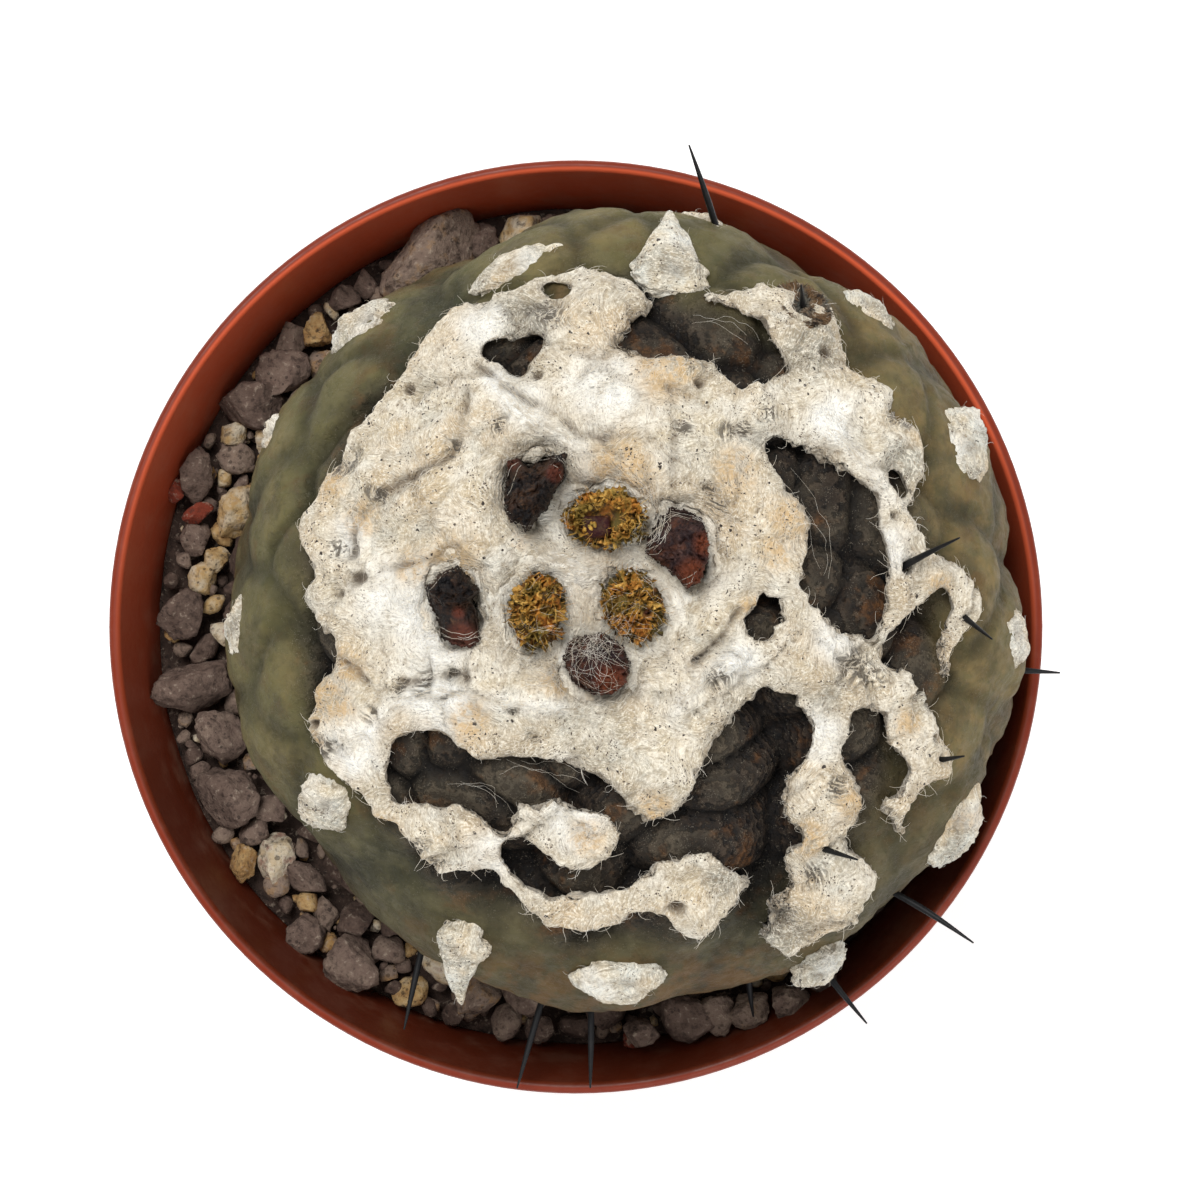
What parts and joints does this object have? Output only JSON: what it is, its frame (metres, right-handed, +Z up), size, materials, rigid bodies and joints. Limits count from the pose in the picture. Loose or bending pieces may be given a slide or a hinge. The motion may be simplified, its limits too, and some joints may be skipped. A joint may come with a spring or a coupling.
{
  "type": "potted copiapoa hypogaea",
  "caption": "Flat globular cactus with a felted woolly crown, dried flowers and dark spines, in gravel in a round tapered nursery pot",
  "frame": {"origin": "centre of the pot's foot, on the surface it stands on", "axes": "+Z up through the pot, +X to the right and +Y to the back as seen from above in the picture"},
  "size_m": [0.0861, 0.085, 0.1],
  "materials": {
    "pot_plastic": "semi-gloss terracotta-brown moulded plastic",
    "gravel": "dry matt mauve-grey pumice and grit",
    "cactus_skin": "satin olive grey-green to brown plant skin, with white wool tufts and black spines",
    "wool": "matt cream to grey felted wool, fibrous",
    "yellow_flower": "matt crumbly ochre dried petals",
    "dark_flower": "matt black-brown dried petals"
  },
  "bodies": {
    "root": {"pot": "pot_plastic", "substrate": "gravel", "stem": "cactus_skin", "crown_wool": "wool", "dried_flower_1": "yellow_flower", "dried_flower_2": "yellow_flower", "dried_flower_3": "yellow_flower", "dried_flower_4": "dark_flower", "dried_flower_5": "dark_flower", "dried_flower_6": "dark_flower", "dried_flower_7": "dark_flower"}
  },
  "joints": []
}
